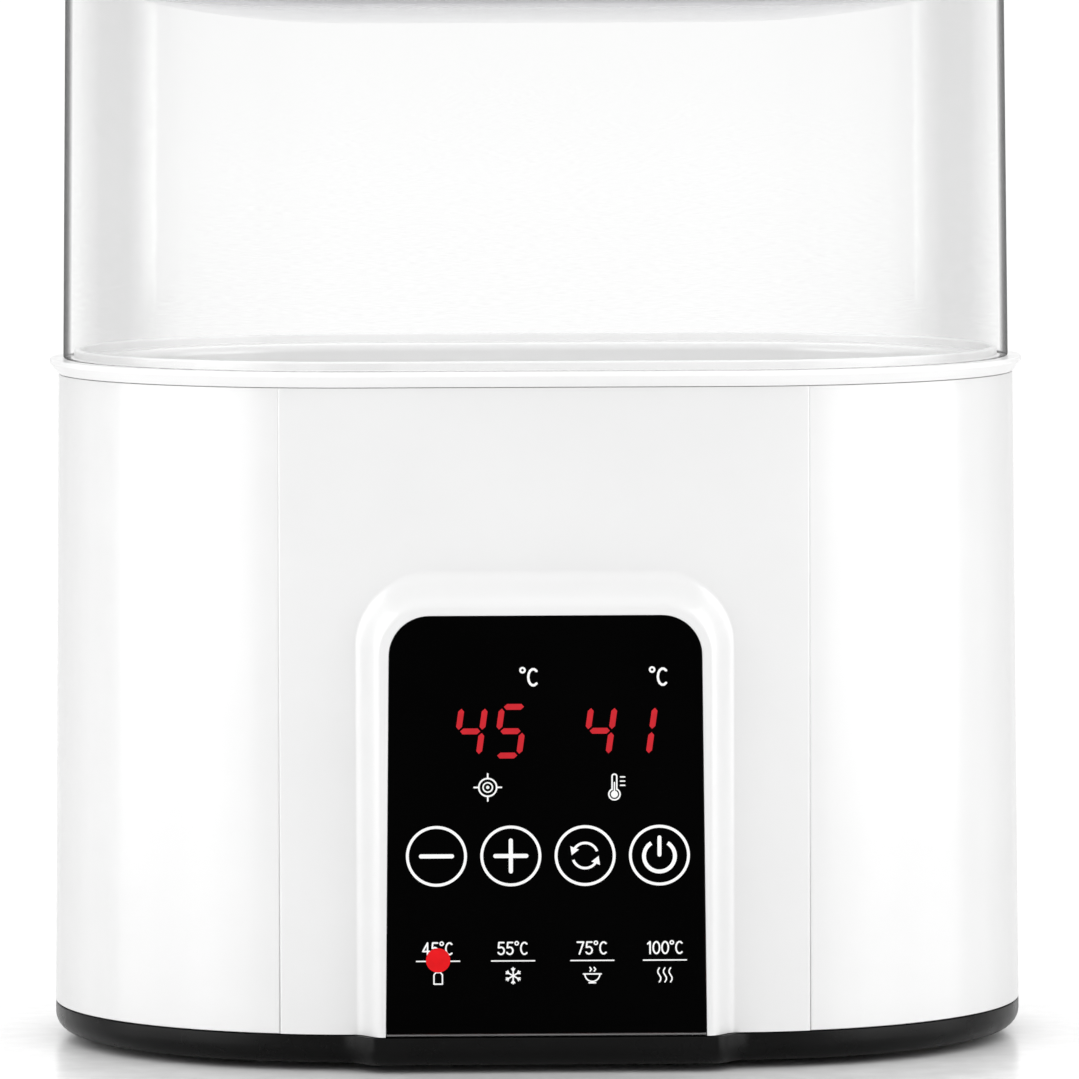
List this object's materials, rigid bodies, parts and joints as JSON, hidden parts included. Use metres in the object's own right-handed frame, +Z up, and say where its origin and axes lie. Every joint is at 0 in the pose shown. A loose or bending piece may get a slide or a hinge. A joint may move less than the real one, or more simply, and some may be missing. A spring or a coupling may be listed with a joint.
{
  "type": "bottle sterilizer",
  "caption": "Oval steam sterilizer for feeding bottles, with a heated white base, a dark control window, a clear lift-off hood, a steam tray and a lid.",
  "frame": {"origin": "on the floor, under the middle of the oval footprint and of its four feet", "axes": "+Z up; the control panel faces -Y and the cord leaves towards +Y; +X runs along the length of the oval"},
  "size_m": [0.214, 0.2855, 0.285],
  "materials": {
    "white_gloss": "polished white moulding",
    "white_satin": "satin white moulding",
    "dark_band": "fine satin dark moulding",
    "foot_rubber": "soft matt rubber",
    "window_black": "back-printed gloss window",
    "led_red": "red diffused display body",
    "pad_grey": "conductive foam",
    "board_green": "glass-fibre circuit board",
    "seal_clear": "translucent silicone",
    "seal_red": "heat-proof silicone",
    "plate_steel": "turned and brushed",
    "fastener_steel": "zinc plated",
    "element_metal": "heat tinted",
    "cutout_black": "moulded thermostat body",
    "fuse_metal": "plain",
    "sensor_brass": "plain",
    "relay_blue": "moulded case",
    "transformer_yellow": "taped winding",
    "capacitor_sleeve": "shrink sleeve",
    "terminal_green": "moulded block",
    "ribbon_grey": "ribbed insulation",
    "lead_red": "silicone insulation",
    "lead_brown": "insulation",
    "cord_black": "matt jacket",
    "pin_brass": "bright",
    "clear_plastic": "polished and clear",
    "grey_translucent": "polished and milky",
    "knob_grey": "polished"
  },
  "bodies": {
    "base": {"rear_shell": "white_gloss", "front_cover": "white_gloss", "water_tank": "white_satin", "base_tray": "dark_band", "rubber_feet": "foot_rubber", "panel_window": "window_black", "led_display": "led_red", "mode_leds": "led_red", "touch_pads": "pad_grey", "control_board": "board_green", "power_board": "board_green", "rim_seal": "seal_clear", "plate_seal": "seal_red", "heating_plate": "plate_steel", "plate_clamp": "plate_steel", "plate_screws": "fastener_steel", "board_screws": "fastener_steel", "base_screws": "fastener_steel", "heater_element": "element_metal", "thermostat": "cutout_black", "thermal_fuse": "fuse_metal", "temp_sensor": "sensor_brass", "relay": "relay_blue", "transformer": "transformer_yellow", "capacitor": "capacitor_sleeve", "terminal_block": "terminal_green", "ribbon_cable": "ribbon_grey", "heater_leads": "lead_red", "mains_leads": "lead_brown", "cord_bushing": "cord_black", "power_cord": "cord_black", "plug_body": "cord_black", "plug_pins": "pin_brass"},
    "rack": {"bottle_rack": "white_satin"},
    "hood": {"steam_hood": "clear_plastic"},
    "tray": {"steam_tray": "grey_translucent"},
    "lid": {"top_lid": "clear_plastic", "lid_knob": "knob_grey", "knob_screw": "fastener_steel"}
  },
  "joints": [
    {"name": "hood_lift", "type": "slide", "parent": "base", "child": "hood", "axis": [0, 0, 1], "range_m": [0, 0.3]},
    {"name": "rack_lift", "type": "slide", "parent": "base", "child": "rack", "axis": [0, 0, 1], "range_m": [0, 0.15]},
    {"name": "tray_lift", "type": "slide", "parent": "hood", "child": "tray", "axis": [0, 0, 1], "range_m": [0, 0.05]},
    {"name": "lid_lift", "type": "slide", "parent": "tray", "child": "lid", "axis": [0, 0, 1], "range_m": [0, 0.05]}
  ],
  "couplings": [
    {"joint": "rack_lift", "follows": "hood_lift", "ratio": 0.5}
  ]
}
